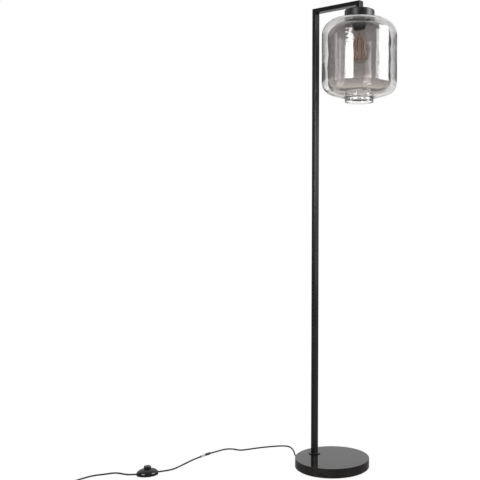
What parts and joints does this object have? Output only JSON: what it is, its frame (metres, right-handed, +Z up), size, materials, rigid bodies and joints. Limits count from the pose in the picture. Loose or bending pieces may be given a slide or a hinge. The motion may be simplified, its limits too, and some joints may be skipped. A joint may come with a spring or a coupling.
{
  "type": "floor lamp",
  "caption": "Arched floor lamp: flat black tube frame on a round stone base, double glass shade over a filament bulb, foot switch on a plugged cord.",
  "frame": {"origin": "on the floor, at the middle of the round base's underside", "axes": "+Z up; +X along the arm, from the pole towards the shade; +Y to the left of someone who looks along +X"},
  "size_m": [0.8081, 0.8385, 1.5444],
  "materials": {
    "black_marble": "polished black marble with faint brown clouding",
    "base_felt": "thin black felt under the disc",
    "black_rubber": "soft moulded black rubber",
    "zinc_steel": "zinc-plated steel",
    "black_powder_coat": "fine satin black powder coat on steel",
    "black_cap_enamel": "satin black stove enamel on spun steel",
    "clear_silicone": "translucent silicone rubber",
    "holder_plastic": "matte black heat-proof plastic",
    "white_ceramic": "unglazed white porcelain",
    "nickel_brass": "nickel-plated brass",
    "wire_sheath": "coloured conductor insulation",
    "clear_glass": "clear mouth-blown glass, slightly wavy",
    "smoke_glass": "smoke-grey glass that clears towards the bottom",
    "amber_bulb_glass": "thin amber-tinted bulb glass",
    "bulb_cap_metal": "nickel-plated thin sheet",
    "black_glass": "black glass insulator",
    "stem_glass": "clear glass stem",
    "filament": "amber coated filament rods",
    "support_wire": "dark nickel wire",
    "cord_sheath": "black flexible cord sheath",
    "tie_plastic": "soft black band",
    "pale_sleeve": "pale plain sleeve on the cord",
    "dark_sleeve": "black sleeve on the cord",
    "switch_plastic": "gloss black moulded plastic",
    "button_plastic": "gloss black moulded plastic, ribbed side",
    "spring_steel": "bright spring wire",
    "plug_plastic": "moulded black plug plastic"
  },
  "bodies": {
    "lamp": {"marble_base": "black_marble", "base_pad": "base_felt", "cord_grommet": "black_rubber", "base_washer": "zinc_steel", "base_lock_washer": "zinc_steel", "base_nut": "zinc_steel", "hollow_stud": "zinc_steel", "pole_tube": "black_powder_coat", "arm_tube": "black_powder_coat", "drop_tube": "black_powder_coat", "pole_foot_disc": "black_powder_coat", "drop_end_plate": "black_powder_coat", "shade_cap": "black_cap_enamel", "cap_nipple": "zinc_steel", "cap_washer": "zinc_steel", "cap_nut": "zinc_steel", "cap_gasket": "clear_silicone", "holder_dome": "holder_plastic", "holder_shell": "holder_plastic", "holder_terminal_block": "white_ceramic", "holder_screw_shell": "nickel_brass", "holder_centre_contact": "nickel_brass", "holder_terminal_screws": "nickel_brass", "holder_wires": "wire_sheath", "shade_ring": "holder_plastic", "ring_washer": "clear_silicone", "glass_spacer": "clear_silicone", "outer_glass": "clear_glass", "inner_glass": "smoke_glass", "bulb_glass": "amber_bulb_glass", "bulb_screw_base": "bulb_cap_metal", "bulb_insulator": "black_glass", "bulb_contact": "bulb_cap_metal", "bulb_stem": "stem_glass", "bulb_filaments": "filament", "bulb_filament_supports": "support_wire", "inner_cable": "cord_sheath", "cord_to_switch": "cord_sheath", "cord_to_coil": "cord_sheath", "cord_to_plug": "cord_sheath", "cord_coil": "cord_sheath", "coil_tie": "tie_plastic", "cord_pale_sleeve": "pale_sleeve", "cord_dark_sleeve": "dark_sleeve", "switch_pad": "black_rubber", "switch_plate": "switch_plastic", "switch_cover": "switch_plastic", "button_spring": "spring_steel", "fixed_contacts": "nickel_brass", "switch_terminals": "nickel_brass", "switch_terminal_screws": "nickel_brass", "cord_clamps": "switch_plastic", "clamp_screws": "zinc_steel", "case_screws": "zinc_steel", "plug_body": "plug_plastic", "plug_pins": "nickel_brass", "plug_strain_relief": "plug_plastic"},
    "button": {"switch_button": "button_plastic", "moving_contact": "nickel_brass"}
  },
  "joints": [
    {"name": "button_press", "type": "slide", "parent": "lamp", "child": "button", "axis": [0, 0, 1], "range_m": [-0.004, 0], "stiffness_N_per_m": 600, "springref_m": 0.004, "deforming": ["button_spring"]}
  ]
}
